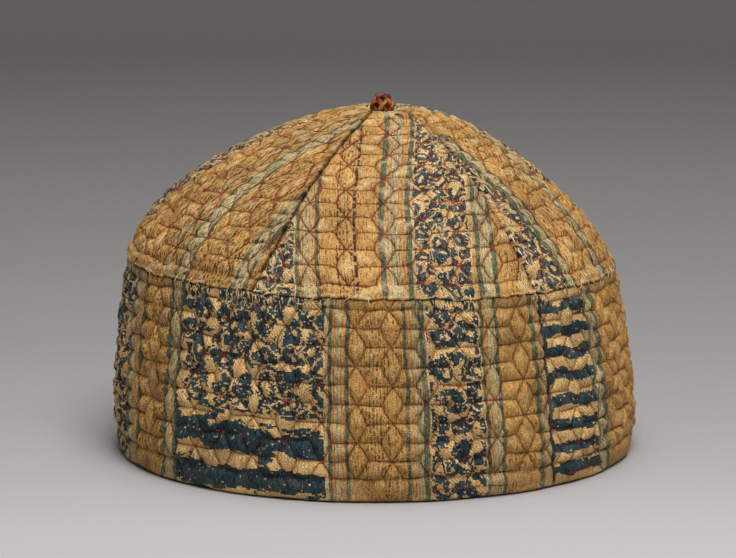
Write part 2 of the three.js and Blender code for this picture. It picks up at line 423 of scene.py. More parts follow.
def gore_edges(k, share, distance):
    """How far a gore's surface drops at its two seams, and how far the folded lip is carried sideways."""
    shape = GORE_FORMS[k]
    width = half_width(distance)
    drop = 0
    for side, (depth, reach) in ((-1, shape["left"]), (1, shape["right"])):
        to_edge = (1 - side * share) * width
        fade = np.clip(width / 8, 0.15, 1)
        drop = drop + depth * fade * (1 - swell(to_edge, reach * fade))
    if not shape["roll"]:
        return drop, 0 * distance
    to_edge = (1 - share) * width
    low = np.clip((CROWN.length - distance) / 14, 0, 1) * np.clip(distance / 3, 0, 1)
    pleats = 0.12 * np.sin(distance * 1.3 + 3 * waves(share, distance, 81)) * np.exp(-to_edge / 7)
    crest = shape["roll"] * np.exp(-(((to_edge - 0.8) / np.where(to_edge < 0.8, 0.5, 2.2)) ** 2))
    return drop - (crest + pleats) * low, 0.2 * np.exp(-((to_edge / 1.2) ** 2)) * low


# Stitches and small pinches round the crown's hem
OVERCAST = 109
PINCHES = 264


def gore_lift(k, share, distance):
    azimuth = gore_azimuth(k, share)
    lift = -0.75 + GORE_FORMS[k]["puff"] * gore_puff(k, share, distance)
    hem = np.clip(1 - (distance - 1.4) / 0.8, 0, 1)
    roll = 0.7 * np.exp(-(((distance - 0.7) / 0.55) ** 2))
    gathers = 0.2 * np.cos(azimuth * OVERCAST + math.pi) * np.clip(1 - distance / 3, 0, 1)
    pinches = 0.3 * np.sin(azimuth * PINCHES + 3 * waves(azimuth, 0, 73)) * np.clip(1 - distance / 5.5, 0, 1)
    gathers = gathers + pinches * np.clip(0.5 + 1.2 * waves(azimuth, 0, 74), 0, 1)
    lift = lift * (1 - hem) + hem * (-0.35 + 0.2 * waves(azimuth, 0, 72)) + roll + gathers
    top = np.clip((distance - CROWN.length + 9) / 5, 0, 1)
    return lift * (1 - top) + 0.2 * top


def gore_point(k, share, distance, lift, side=0):
    radius, height = CROWN.lifted(distance, lift)
    rise = np.clip(
        np.minimum(4 * (height - BAND_HEIGHT) / CROWN_HEIGHT, 2 * (radius - BUTTON_HOLE) / CROWN_RADIUS), 0, 1
    )
    radius = radius - GORE_FULLNESS * share**4 * rise
    azimuth = gore_azimuth(k, share) + side / np.maximum(radius, 2)
    return form(azimuth, radius, np.maximum(height, BAND_HEIGHT + 0.12), True)


def place_gore(k):
    def place(across, loop):
        share = across_gore(across)
        distance, depth = read_gore(loop)
        drop, side = gore_edges(k, share, distance)
        over = gore_lift(k, share, distance) - drop
        over = over - rounded(distance, 0.3) - rounded(CROWN.length - distance, 0.8)
        to_edge = (1 - np.abs(share)) * half_width(distance)
        under = -WALL + 0.2 - 0.5 * gore_puff(k, share, distance) + 1.4 * (1 - swell(to_edge, 2.2))
        return gore_point(k, share, distance, over * (1 - depth) + under * depth, side * (1 - depth))

    return place


def map_gore(k):
    def maps(across, loop):
        share = across_gore(across)
        distance, depth = read_gore(loop)
        chain, row = gore_pattern(k, share, distance)
        azimuth = gore_azimuth(k, share)
        q = grain_place(k, share, distance) + 0.4 * waves(azimuth, distance, 22)
        to_seam = np.minimum((1 - np.abs(share)) * half_width(distance), CROWN.length - distance - 4)
        return {"cloth": (q, distance), "quilt": (chain, row), "seam": (to_seam, distance)}

    return maps


gores = []
for k in range(GORES):
    gore = to_mesh(f"gore_{k + 1}_cloth", GORE_COLUMNS, GORE_LOOPS, place_gore(k), map_gore(k), GORE_LINING)
    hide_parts(f"gore_{k + 1}")
    gores.append(gore)


# Threads and cords


def tubes(name, paths, radius, sides=4, closed=False, middle=(0, 0, 0)):
    """One mesh of round threads; each path is a row of points in millimetres, all with as many points."""
    paths = np.asarray(paths, float)
    count, steps, _ = paths.shape
    if closed:
        along = np.roll(paths, -1, 1) - np.roll(paths, 1, 1)
    else:
        along = np.gradient(paths, axis=1)
    along /= np.linalg.norm(along, axis=2, keepdims=True)
    out = paths - np.array(middle)
    out -= along * (out * along).sum(2, keepdims=True)
    out /= np.linalg.norm(out, axis=2, keepdims=True)
    aside = np.cross(along, out)
    turn = np.arange(sides) * 2 * math.pi / sides + math.pi / sides
    size = np.broadcast_to(radius, (count, steps))[:, :, None, None]
    ring = np.cos(turn)[:, None] * out[:, :, None] + np.sin(turn)[:, None] * aside[:, :, None]
    points = (paths[:, :, None] + size * ring).reshape(-1, 3)
    base = np.arange(count)[:, None, None] * steps * sides
    run = np.arange(steps if closed else steps - 1)[None, :, None]
    side = np.arange(sides)[None, None, :]
    a = base + run * sides + side
    b = base + run * sides + (side + 1) % sides
    nxt = (run + 1) % steps
    c = base + nxt * sides + (side + 1) % sides
    d = base + nxt * sides + side
    faces = np.stack([a, b, c, d], -1).reshape(-1, 4).tolist()
    if not closed:
        first = base[:, 0] + np.arange(sides)[::-1]
        last = base[:, 0] + (steps - 1) * sides + np.arange(sides)
        faces += first.tolist() + last.tolist()
    mesh = bpy.data.meshes.new(name)
    mesh.from_pydata((points * MM).tolist(), [], faces)
    mesh.update()
    piece = bpy.data.objects.new(name, mesh)
    bpy.context.collection.objects.link(piece)
    mesh.polygons.foreach_set("use_smooth", [True] * len(mesh.polygons))
    bpy.context.view_layer.objects.active = piece
    piece.select_set(True)
    bpy.ops.object.mode_set(mode="EDIT")
    bpy.ops.mesh.select_all(action="SELECT")
    bpy.ops.mesh.normals_make_consistent(inside=False)
    bpy.ops.mesh.select_all(action="DESELECT")
    bpy.ops.object.mode_set(mode="OBJECT")
    bpy.ops.object.select_all(action="DESELECT")
    return piece


STITCH = 1.75  # length that shows
STITCH_GAP = 0.35
THREAD = 0.18
STITCH_ARCH = np.array([-0.1, 0.14, 0.16, -0.1])


def stitch_runs(lines, seed):
    """Stitches along lines of (chain, row) points: arrays of four places each."""
    rng = np.random.default_rng(seed)
    found = []
    for line, pitch in lines:
        line = np.asarray(line, float)
        step = np.linalg.norm(np.diff(line, axis=0) * pitch, axis=1)
        at = np.concatenate([[0], np.cumsum(step)])
        start = rng.uniform(0, STITCH_GAP)
        while start + 0.6 < at[-1]:
            end = min(start + STITCH * rng.uniform(0.8, 1.15), at[-1])
            where = np.linspace(start, end, 4)
            found.append(np.stack([np.interp(where, at, line[:, 0]), np.interp(where, at, line[:, 1])], 1))
            start = end + STITCH_GAP * rng.uniform(0.6, 1.5)
    return np.array(found)


def chain_lines(chains, first_row, last_row, chain_pitch, row_pitch):
    """The two threads of each chain of ovals, and the row lines between ovals."""
    lines = []
    pitch = np.array([chain_pitch, row_pitch])
    rows = np.linspace(first_row, last_row, int((last_row - first_row) * 8) + 1)
    for chain in chains:
        signed = oval_share(rows + chain - 1) * np.sign(np.sin(np.pi * (rows + chain - 1) / 2) + 1e-9)
        for side in (-1, 1):
            lines.append((np.stack([chain + side * OVAL_WIDTH / chain_pitch * signed, rows], 1), pitch))
    for row in range(first_row, last_row + 1):
        for chain in chains:
            if row in (first_row, last_row):
                places = np.linspace(chain - 0.5, chain + 0.5, 13)
            elif (row + chain) % 2 == 1:
                reach = 1 - OVAL_WIDTH / chain_pitch
                places = np.linspace(chain - reach, chain + reach, 17)
            else:
                continue
            lines.append((np.stack([places, np.full(len(places), row)], 1), pitch))
    return lines


band_lines = chain_lines(range(-CHAINS // 2, CHAINS // 2), 0, BAND_ROWS, CHAIN_PITCH, ROW_PITCH)
for first, last in ((1.1, 3.4), (5.5, 7.4)):
    hem_row = np.stack([np.linspace(first, last, 40), np.full(40, -0.6)], 1)
    band_lines.append((hem_row, np.array([CHAIN_PITCH, ROW_PITCH])))
places = stitch_runs(band_lines, 5)
azimuth, distance = band_place(places[..., 0], places[..., 1])
lift = band_relief(azimuth, distance) + STITCH_ARCH + 0.05
band_stitches = tubes("band_stitches", band_point(azimuth, distance, lift), THREAD)

crown_paths = []
for k in range(GORES):
    lines = chain_lines(range(-6, 7), 0, CROWN_ROWS, CROWN_CHAIN_PITCH, CROWN_ROW_PITCH)
    places = stitch_runs(lines, 60 + k)
    share, distance = gore_place(k, places[..., 0], places[..., 1])
    inside = ((1 - np.abs(share)) * half_width(distance)).min(1) > 0.5
    share, distance = share[inside], distance[inside]
    drop, side = gore_edges(k, share, distance)
    lift = gore_lift(k, share, distance) - drop + STITCH_ARCH + 0.08
    crown_paths.append(gore_point(k, share, distance, lift, side))
crown_stitches = tubes("crown_stitches", np.vstack(crown_paths), THREAD)

# A loose end of thread beside the button, then the overcast stitches along the crown's hem
share, distance = np.array([0.2, 0.28, 0.35, 0.41]), np.array([-13.6, -14.8, -15.9, -16.9]) + CROWN.length
loose_end = tubes("loose_end", [gore_point(0, share, distance, np.array([0.2, 0.6, 0.7, 0.3]))], 0.32, 8)
rng = np.random.default_rng(8)
overcast = []
for number in range(OVERCAST):
    azimuth = number * 2 * math.pi / OVERCAST + rng.uniform(-0.006, 0.006)
    slant = rng.uniform(-0.004, 0.01)
    length = rng.uniform(0.6, 1.3)
    if rng.uniform() < 0.15:
        continue
    k = int(((azimuth - FIRST_SEAM) % (2 * math.pi)) // GORE_WIDTH)
    share = (((azimuth - FIRST_SEAM) % (2 * math.pi)) / GORE_WIDTH - k) * 2 - 1
    down = azimuth - seam_bend(azimuth, 1)
    foot = band_point(np.array([down - slant]), np.array([BAND.length - 1.0 * length]), np.array([-0.5]))
    low = band_point(np.array([down - slant * 0.7]), np.array([BAND.length - 0.4]), np.array([0.0]))
    distance = np.array([0.3, 1.0, 1.9 * length])
    shares = share + np.array([0.2, 0.5, 1]) * slant * 2 / GORE_WIDTH
    drop, side = gore_edges(k, shares, distance)
    lift = gore_lift(k, shares, distance) - drop - rounded(distance, 0.3) + np.array([0.1, 0.12, -0.15])
    overcast.append(np.vstack([foot, low, gore_point(k, shares, distance, lift, side)]))
overcast_stitches = tubes("overcast_stitches", overcast, 0.19, 6)

# The button: one cord wound into a ball, over a red core
turn = np.linspace(0, 2 * math.pi, 360, endpoint=False)
polar = math.radians(62) * np.cos(5 * turn)
ball = 3.45 + 0.5 * np.sin(15 * turn)
around = ball * np.cos(polar)
knot_path = np.stack([around * np.sin(4 * turn), -around * np.cos(4 * turn), 0.95 * ball * np.sin(polar)], 1)
knot_centre = np.array([CROWN_LEAN, 0, HOLE_TOP + 2.3])
knot = tubes("knot_cord", [knot_path + knot_centre], 0.74 + 0.14 * np.sin(30 * turn), 12, True, knot_centre)
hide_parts("knot_button")
bpy.ops.mesh.primitive_uv_sphere_add(segments=24, ring_count=12, radius=3.1 * MM)
core = bpy.context.active_object
core.name = "knot_core"
bpy.ops.object.mode_set(mode="EDIT")
bpy.ops.transform.translate(value=tuple(knot_centre * MM))
bpy.ops.object.mode_set(mode="OBJECT")
bpy.ops.object.shade_smooth()
bpy.ops.object.select_all(action="DESELECT")
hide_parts("knot_button")

padded = [band, *gores]
cords = [band_stitches, crown_stitches, overcast_stitches, loose_end, knot, core]


# Colours and finishes


def srgb(red, green, blue):
    """A colour given as screen values, in Blender's own linear ones."""
    parts = [v / 255 for v in (red, green, blue)]
    return tuple(v / 12.92 if v <= 0.04045 else ((v + 0.055) / 1.055) ** 2.4 for v in parts) + (1,)


class Value:
    """A shader socket that takes Python's arithmetic, each step adding a Math node."""

    def __init__(self, shader, socket):
        self.shader = shader
        self.socket = socket

    def math(self, operation, *others, first=None):
        values = [self, *others] if first is None else [first, self]
        return self.shader.add("ShaderNodeMath", {"operation": operation}, dict(enumerate(values)))

    def __add__(self, other):
        return self.math("ADD", other)

    __radd__ = __add__

    def __sub__(self, other):
        return self.math("SUBTRACT", other)

    def __rsub__(self, other):
        return self.math("SUBTRACT", first=other)

    def __mul__(self, other):
        return self.math("MULTIPLY", other)

    __rmul__ = __mul__

    def __truediv__(self, other):
        return self.math("DIVIDE", other)

    def __abs__(self):
        return self.math("ABSOLUTE")

    def __lt__(self, other):
        return self.math("LESS_THAN", other)

    def __gt__(self, other):
        return self.math("GREATER_THAN", other)

    def floor(self):
        return self.math("FLOOR")

    def sin(self):
        return self.math("SINE")

    def least(self, other):
        return self.math("MINIMUM", other)

    def most(self, other):
        return self.math("MAXIMUM", other)

    def power(self, other):
        return self.math("POWER", other)

    def fold(self, size):
        """0 at every second multiple of size, rising to size between them."""
        return self.math("PINGPONG", size)

    def rise(self, low, high):
        """0 below low, 1 above high, straight between."""
        settings = {"clamp": True}
        return self.shader.add("ShaderNodeMapRange", settings, {0: self, 1: low, 2: high, 3: 0.0, 4: 1.0})


class Shader:
    """A material's nodes."""

    def __init__(self, name):
        self.material = bpy.data.materials.new(name)
        self.material.use_nodes = True
        self.tree = self.material.node_tree
        self.tree.nodes.clear()

    def add(self, kind, settings=None, sockets=None, out=0):
        node = self.tree.nodes.new(kind)
        for key, value in (settings or {}).items():
            if key == "stops":
                ramp = node.color_ramp
                while len(ramp.elements) < len(value):
                    ramp.elements.new(1)
                for element, (position, colour) in zip(ramp.elements, value):
                    element.position = position
                    element.color = colour
            elif key == "interpolation" and kind == "ShaderNodeValToRGB":
                node.color_ramp.interpolation = value
            else:
                setattr(node, key, value)
        for key, value in (sockets or {}).items():
            if isinstance(value, Value):
                self.tree.links.new(value.socket, node.inputs[key])
            else:
                node.inputs[key].default_value = value
        return Value(self, node.outputs[out]) if len(node.outputs) else None

    def split(self, value, kind="ShaderNodeSeparateXYZ"):
        """The three parts of a vector, or of a colour with its own kind of node."""
        return [self.add(kind, sockets={0: value}, out=k) for k in range(3)]

    def map(self, name):
        """The two coordinates of one of the piece's own maps."""
        return self.split(self.add("ShaderNodeUVMap", {"uv_map": name}))[:2]

    def plane(self, x, y):
        return self.add("ShaderNodeCombineXYZ", sockets={0: x, 1: y})

    def noise(self, where, scale, detail):
        sockets = {"Vector": where, "Scale": scale, "Detail": detail}
        return self.add("ShaderNodeTexNoise", {"noise_dimensions": "3D"}, sockets)

    def streaks(self, x, y, detail):
        """Noise in the plane, drawn out by the factors that x and y carry."""
        return self.noise(self.plane(x, y), 1, detail)

    def blend(self, factor, under, over, kind="MIX"):
        settings = {"data_type": "RGBA", "blend_type": kind}
        return self.add("ShaderNodeMix", settings, {0: factor, 6: under, 7: over}, out=2)

    def toned(self, colour, tone):
        """A colour made lighter or darker."""
        grey = self.add("ShaderNodeCombineColor", sockets={0: tone, 1: tone, 2: tone})
        return self.blend(1.0, colour, grey, "MULTIPLY")

    def finish(self, colour, roughness, normal, sheen=0.0, tint=(1, 1, 1, 1)):
        sockets = {
            "Base Color": colour,
            "Roughness": roughness,
            "Normal": normal,
            "Sheen Weight": sheen,
            "Sheen Roughness": 0.4,
            "Sheen Tint": tint,
            "Specular IOR Level": 0.2,
        }
        surface = self.add("ShaderNodeBsdfPrincipled", sockets=sockets)
        self.add("ShaderNodeOutputMaterial", sockets={"Surface": surface})
        return self.material

    def bump(self, height, distance, strength=1.0):
        sockets = {"Strength": strength, "Distance": distance, "Height": height}
        return self.add("ShaderNodeBump", sockets=sockets)


GOLD = srgb(184, 138, 76)
GREEN = srgb(64, 90, 72)
PALE = srgb(176, 158, 114)
TAN = srgb(190, 140, 82)
CREAM = srgb(248, 220, 168)
GROUND = srgb(216, 176, 116)
NAVY = srgb(20, 32, 44)
TEAL = srgb(54, 78, 80)
# Dark brown for soil, also used as painted shade in the creases, at the seams, under the crown's hem and
# round the button
SOIL_AND_SHADE = srgb(62, 30, 16)
DARK = srgb(60, 38, 24)
PURPLE = srgb(74, 50, 46)
COTTON = srgb(206, 186, 150)
THREAD_RED = srgb(178, 54, 44)
THREAD_BROWN = srgb(104, 40, 32)

# Each stripe's colour and three traits of its silk: 1 for a figure or 0.3 for fine lines, 1 for dark dashes
# or 0.6 for a line that is broken, and 1 for bars or 0.5 for bars low on the band. A figure with less than
# 0.3 there starts FIGURE_RISE times that value up the crown, with gold below.
FIGURE_RISE = 185
STRIPES = {
    "gold": (GOLD, (0, 0, 0, 1)),
    "dash": (GOLD, (0, 1, 0, 1)),
    "green": (GREEN, (0.3, 0, 0, 1)),
    "pale": (PALE, (0.3, 0, 0, 1)),
    "tan": (TAN, (0.3, 0, 0, 1)),
    "cream": (srgb(190, 158, 108), (0, 0, 0, 1)),
    "line": (srgb(58, 52, 44), (0, 0, 0, 1)),
    "broken": (PURPLE, (0, 0.6, 0, 1)),
    "orange": (srgb(188, 128, 66), (0, 0, 0, 1)),
    "figure": (GROUND, (1, 0, 0, 1)),
    "upper": (GROUND, (1, 0, 0.2, 1)),
    "raised": (GROUND, (1, 0, 0.08, 1)),
    "block": (GROUND, (1, 0, 0.5, 1)),
    "bars": (GROUND, (1, 0, 1, 1)),
}

# Stripes round the band by the degree where each starts, and across each gore by its millimetre
BAND_STRIPES = [
    (-181, "gold"), (-168, "dash"), (-155, "green"), (-153.6, "pale"), (-151, "green"), (-150, "cream"),
    (-149.5, "figure"), (-129, "cream"), (-128.5, "green"), (-127.4, "tan"), (-126.4, "pale"),
    (-124.6, "green"), (-123.5, "gold"), (-115, "dash"), (-108, "green"), (-107, "pale"),
    (-104.5, "green"), (-103.5, "cream"), (-103, "figure"), (-68.5, "green"), (-67.2, "pale"),
    (-64.5, "tan"), (-62.9, "green"), (-61.7, "dash"), (-51.6, "green"), (-50.2, "pale"),
    (-47.6, "green"), (-46.8, "cream"), (-46.4, "block"), (-10.3, "cream"), (-9.7, "green"),
    (-8.8, "tan"), (-8, "pale"), (-7, "tan"), (-6.2, "green"), (-5.1, "gold"), (-1.5, "dash"),
    (5.6, "gold"), (6.2, "green"), (7.2, "tan"), (8.3, "pale"), (10, "green"), (11, "cream"),
    (11.5, "figure"), (23.2, "cream"), (23.6, "green"), (24.4, "tan"), (25.4, "pale"), (27.1, "green"),
    (28.2, "gold"), (36.6, "green"), (37.6, "tan"), (38.3, "pale"), (39.8, "line"), (40.4, "bars"),
    (55.2, "green"), (56.3, "pale"), (58.6, "green"), (59.6, "gold"), (79, "orange"), (84, "gold"),
    (96, "dash"), (106, "green"), (107.2, "pale"), (109.5, "green"), (110.5, "cream"), (111, "figure"),
    (133, "cream"), (133.5, "green"), (134.5, "tan"), (135.5, "pale"), (137.5, "green"),
    (138.6, "gold"), (150, "dash"), (160, "green"), (161, "pale"), (163.5, "green"), (164.5, "gold"),
]
GORE_STRIPES = [
    [
        (-70, "figure"), (-42.1, "cream"), (-41.5, "green"), (-39.8, "tan"), (-39.2, "pale"),
        (-35.6, "tan"), (-34.3, "green"), (-32.6, "gold"), (-26.4, "broken"), (-25.8, "dash"),
        (-20.6, "broken"), (-20, "gold"), (-12, "green"), (-10.4, "tan"), (-9.4, "pale"), (-5.2, "tan"),
        (-3, "green"), (-1.2, "cream"), (-0.2, "figure"), (20.3, "cream"), (21.1, "tan"), (22, "green"),
        (24, "pale"), (28.4, "green"), (30, "gold"), (33, "dash"),
    ],
    [
        (-70, "figure"), (-31.8, "green"), (-30, "pale"), (-27, "green"), (-25.6, "gold"),
        (-19, "dash"), (-12, "gold"), (-6, "green"), (-4.9, "pale"), (-1.2, "green"), (0.5, "gold"),
        (4.7, "upper"), (25, "gold"), (25.7, "green"), (27, "pale"), (31, "green"), (32.5, "gold"),
        (36, "dash"),
    ],
    [
        (-70, "gold"), (-38, "dash"), (-26, "green"), (-24.6, "pale"), (-20.5, "green"), (-19, "cream"),
        (-18.3, "figure"), (1.5, "cream"), (2.2, "green"), (3.9, "tan"), (5, "pale"), (9, "green"),
        (10.6, "gold"), (18, "dash"), (29, "green"), (30.5, "pale"), (34, "green"), (35.5, "gold"),
    ],
    [
        (-70, "dash"), (-30, "green"), (-28.5, "pale"), (-24.5, "green"), (-23, "gold"), (-16, "dash"),
        (-8, "gold"), (-6, "green"), (-4.5, "pale"), (-0.6, "green"), (1, "cream"), (1.7, "figure"),
        (22, "cream"), (22.7, "green"), (24.5, "pale"), (28.5, "green"), (30, "gold"), (34, "dash"),
    ],
    [
        (-70, "gold"), (-40, "dash"), (-30, "green"), (-28.6, "pale"), (-24.6, "green"),
        (-23.4, "gold"), (5, "cream"), (5.7, "raised"), (32, "gold"), (36, "broken"), (36.6, "gold"),
    ],
    [
        (-70, "gold"), (-36, "dash"), (-22, "gold"), (-18, "line"), (-17.3, "dash"), (-10.4, "green"),
        (-9.5, "tan"), (-6.4, "green"), (-5.6, "gold"), (-0.9, "green"), (0.1, "pale"), (4.8, "green"),
        (5.8, "gold"), (9, "dash"), (25.6, "green"), (26.8, "pale"), (30.9, "green"), (32, "gold"),
    ],
]


def stripe_ramp(shader, q, table, column):
    """The stripes' colours or traits across the grain, from as many ramps as the table fills."""
    result = None
    for first in range(0, len(table), 28):
        rows = table[first : first + 28]
        low = rows[0][0]
        high = table[first + 28][0] if first + 28 < len(table) else rows[-1][0] + 20
        stops = [((start - low) / (high - low), STRIPES[kind][column]) for start, kind in rows]
        settings = {"interpolation": "CONSTANT", "stops": stops}
        ramp = shader.add("ShaderNodeValToRGB", settings, {0: (q - low) / (high - low)})
        result = ramp if result is None else shader.blend(q > low, result, ramp)
    return result


FAR = 9  # a distance that takes a place out of reach of the stitches
WEFT = 0.42  # height of one step of the figures' edges


def woven_figure(shader, q, v, bars, sparse):
    """1 where the blue shows: eyes with pale rims among curls, or long bars, ragged by the weft's steps."""
    pick = (v / WEFT).floor()
    shift = shader.add("ShaderNodeTexWhiteNoise", {"noise_dimensions": "1D"}, {"W": pick})
    x = q + (shift - 0.5) * 0.8
    y = pick * WEFT
    where = shader.plane(x, y)
    bent_x = x + (shader.noise(where, 0.16, 1) - 0.5) * 9
    bent_y = y + (shader.noise(shader.plane(y, x), 0.14, 1) - 0.5) * 9
    bent = shader.plane(bent_x, bent_y)
    cells = {"voronoi_dimensions": "2D", "feature": "F1"}
    spot = shader.add("ShaderNodeTexVoronoi", cells, {"Vector": bent, "Scale": 0.12, "Randomness": 0.8})
    eye = (spot > 0.12) * (spot < 0.37)
    blotch = shader.noise(bent, 0.21 - (bars > 0.4) * 0.05, 1 + 2 * sparse)
    curls = (blotch > 0.513 - (bars > 0.4) * 0.03 + sparse * 0.009) * (spot > 0.45)
    long_bars = bars > 0.75
    pitch = 10.1 - long_bars * 3.7
    rough = (shader.streaks(x / 7, y / 3, 2) - 0.5) * 4.5
    wander = (shader.noise(where, 0.05, 1) - 0.5) * 6 - 2.65
    bar = ((y + wander) / pitch * (2 * math.pi)).sin() + rough > -0.45 + long_bars * 0.5
    share = long_bars.most((bars > 0.4) * (v < 22.5))
    figure = eye.most(curls) * (1 - share) + bar * share
    flecks = shader.streaks(x * (0.6 + sparse * 0.4), y * 2.4, 2)
    figure = figure * (flecks < 0.61 - sparse * 0.01 + share * 0.04)
    return figure.most(flecks > 0.67 - sparse * 0.05 + share * 0.04)


def to_stitches(chain, row):
    """Distance from the quilting's lines, from the same figure as the wadding's."""
    nearest = (chain + 0.5).floor()
    aside = abs(chain - nearest) * CROWN_CHAIN_PITCH
    phase = row + nearest - 1
    half = (abs((phase * (math.pi / 2)).sin()) * 0.6 + phase.fold(1) * 0.4) * OVAL_WIDTH
    to_row = row.fold(0.5) * ROW_PITCH + (aside < half) * FAR
    outside = ((row < -0.1) + (row > CROWN_ROWS + 0.2)).least(1)
    return (abs(aside - half) * 0.8).least(to_row) + outside * FAR


def silk(name, table, coarse, wear_and_highlight, crease_soil_and_shade, creased, stray_share, slant):
    """Striped silk over wadding, with woven figures, dark dashes, wear and a painted highlight on the puffs,
    and soil and painted shade in the stitch lines and at the seams.
    """
    shader = Shader(name)
    q, v = shader.map("cloth")
    chain, row = shader.map("quilt")
    where = shader.plane(q, v)
    weft = (v / WEFT).floor()
    ragged = (shader.streaks(q * 0.5, weft * 1.7, 1) - 0.5) * 0.8
    edge = q + ragged
    base = stripe_ramp(shader, edge, table, 0)
    kind, dashed, bars = shader.split(stripe_ramp(shader, edge, table, 1), "ShaderNodeSeparateColor")
    figured = kind > 0.5
    lined = (kind > 0.1) * (kind < 0.5)
    faded = (bars > 0.04) * (bars < 0.3) * (v + ragged * 6 < bars * FIGURE_RISE)
    base = shader.blend(faded, base, GOLD)
    figured = figured * (1 - faded)
    blue = woven_figure(shader, q / coarse, v / coarse, bars, 1 if coarse < 1 else 0) * figured
    grain = shader.streaks(q * 1.1, v * 2.6, 2)
    streak = shader.streaks(q * 2.2, v * 0.12, 1)
    fibres = shader.streaks(q * 2.6, v * 0.6, 2)

    # Fine lines in the pale and green stripes, whose warp lets the ground show
    hair = (q + (streak - 0.5) * 0.8).fold(0.62) < 0.16
    colour = shader.blend(hair * lined * 0.45, base, srgb(120, 88, 52))
    threadbare = (fibres > 0.54) * lined
    colour = shader.blend(threadbare * 0.4, colour, GOLD)

    # Twill of the figured ground, and the blue over it
    twill = ((q + v) * (2 * math.pi / 1.3)).sin() + (grain - 0.5) * 2 > 0.2
    colour = shader.blend(twill * figured * 0.42, colour, srgb(140, 98, 52))
    dye = (fibres.rise(0.36, 0.64) + (shader.noise(where, 0.3, 2) - 0.5) * 1.6).rise(0, 1)
    colour = shader.blend(blue, colour, shader.blend(dye, NAVY, TEAL))

    # Dark threads of the warp that come and go
    warp = q / 1.25 + (streak - 0.5) * 0.6
    column = (warp + 0.5).floor()
    speck = (shader.streaks(column * 7.3, v * 0.75, 1) > 0.5) * (warp.fold(0.5) < 0.2)
    here = (shader.streaks(column * 3.1, v * 0.04, 1) > 0.46) * dashed
    slub = shader.streaks(q * 2.2, v * 0.5 + (grain - 0.5) * 0.8, 3)
    stray = (slub > 0.6) * (1 - figured) * stray_share
    colour = shader.blend((speck * here).most(stray) * 0.8, colour, DARK)
    gaps = (shader.streaks(q * 0.2, v * 0.5, 2) > 0.54) * (dashed > 0.4) * (dashed < 0.8)
    colour = shader.blend(gaps * 0.85, colour, GOLD)

    # Unevenness of the threads and of the dye
    patch = shader.noise(where, 0.045, 3)
    tone = 1 + (grain - 0.5) * 2.0 + (streak - 0.5) * 1.0 + (0.5 - slub) * stray_share * 3
    tone = tone + (patch - 0.5) * 1.5
    colour = shader.toned(colour, tone)

    # Soil and painted shade in the stitch lines and at the seams, and loose pale ends of thread over the blue
    # there
    to_line = to_stitches(chain, row)
    crease = 1 - to_line.rise(0.05, 0.5)
    colour = shader.blend(crease * crease_soil_and_shade, colour, SOIL_AND_SHADE)
    to_seam, _ = shader.map("seam")
    # Painted shadow with some soil along the gores' seams, under the crown's hem on the band and round the
    # button
    shade = (1 - to_seam.rise(0.1, 0.9)) * 0.3 + (1 - to_seam.rise(0.5, 4.5)) * 0.15
    colour = shader.blend(shade, colour, SOIL_AND_SHADE)
    fringe = (shader.streaks(q * 1.3, v * 0.45 + (streak - 0.5) * 2, 1) > 0.57) * blue
    colour = shader.blend(fringe * (1 - to_seam.rise(1, 6)) * 0.85, colour, CREAM)

    # Silk that has worn to pale, slanting floats on the puffs, lightened further there as a painted highlight
    crest = to_line.rise(0.6, 1.8)
    breaks = (shader.streaks(q * 0.9, v * 1.4, 1) - 0.5) * 4
    floats = ((v + q * slant + grain * 0.6) * (2 * math.pi / 0.95)).sin() + breaks
    worn_highlight = shader.noise(where, 0.13, 2).rise(0.51, 0.59) * crest * (1 - blue * 0.75)
    colour = shader.blend(worn_highlight * (floats.rise(-0.4, 1.2) * 0.75 + 0.25) * wear_and_highlight, colour, CREAM)
    colour = shader.blend(worn_highlight * (floats < -1.3) * wear_and_highlight, colour, DARK)

    ribs = (v * (2 * math.pi / 0.62)).sin() * 0.1 + grain * 0.9 + streak * 0.5
    crinkle = shader.streaks(q * 0.8, v * 0.3 + (patch - 0.5) * 6, 2)
    height = ribs * (1 - crease) * 0.28 + crinkle * creased + to_line.rise(0, 0.8).power(0.6) * 0.8 * crease_soil_and_shade
    normal = shader.bump(height, 0.001, 0.8)
    return shader.finish(colour, 0.6 + (grain - 0.5) * 0.5, normal, 0.02, CREAM)


def degrees_to_mm(table):
    return [(math.radians(start) * BAND_RADIUS, kind) for start, kind in table]


def lining_cloth():
    """Plain undyed cotton, with the quilting's stitches showing through as short dark dashes."""
    shader = Shader("lining_cotton")
    q, v = shader.map("cloth")
    chain, row = shader.map("quilt")
    grain = shader.streaks(q * 1.8, v * 1.8, 2)
    patch = shader.noise(shader.plane(q, v), 0.04, 3)
    tone = 0.8 + (grain - 0.5) * 0.4 + (patch - 0.5) * 0.5
    colour = shader.toned(COTTON, tone)
    line = to_stitches(chain, row)
    dashes = (line < 0.25) * ((row * 2.6).fold(0.5) + (chain * 5.2).fold(0.5) > 0.42)
    # Soil and painted shade in the creases along the stitch lines
    colour = shader.blend((1 - line.rise(0.1, 1.2)) * 0.35, colour, SOIL_AND_SHADE)
    colour = shader.blend(dashes * 0.85, colour, THREAD_BROWN)
    normal = shader.bump(grain + (q * 9).sin() * 0.15 + (v * 9).sin() * 0.15, 0.0003, 0.5)
    return shader.finish(colour, 0.85 + (grain - 0.5) * 0.1, normal)


def thread(name, dark, light, rough=0.6, patches=90):
    shader = Shader(name)
    place = shader.add("ShaderNodeTexCoord", out=3)
    tint = shader.noise(place, patches, 2)
    fine = shader.noise(place, 2600, 1)
    colour = shader.blend(tint.rise(0.4, 0.6), dark, light)
    normal = shader.bump(fine, 0.0001, 0.6)
    return shader.finish(colour, rough + (fine - 0.5) * 0.2, normal)


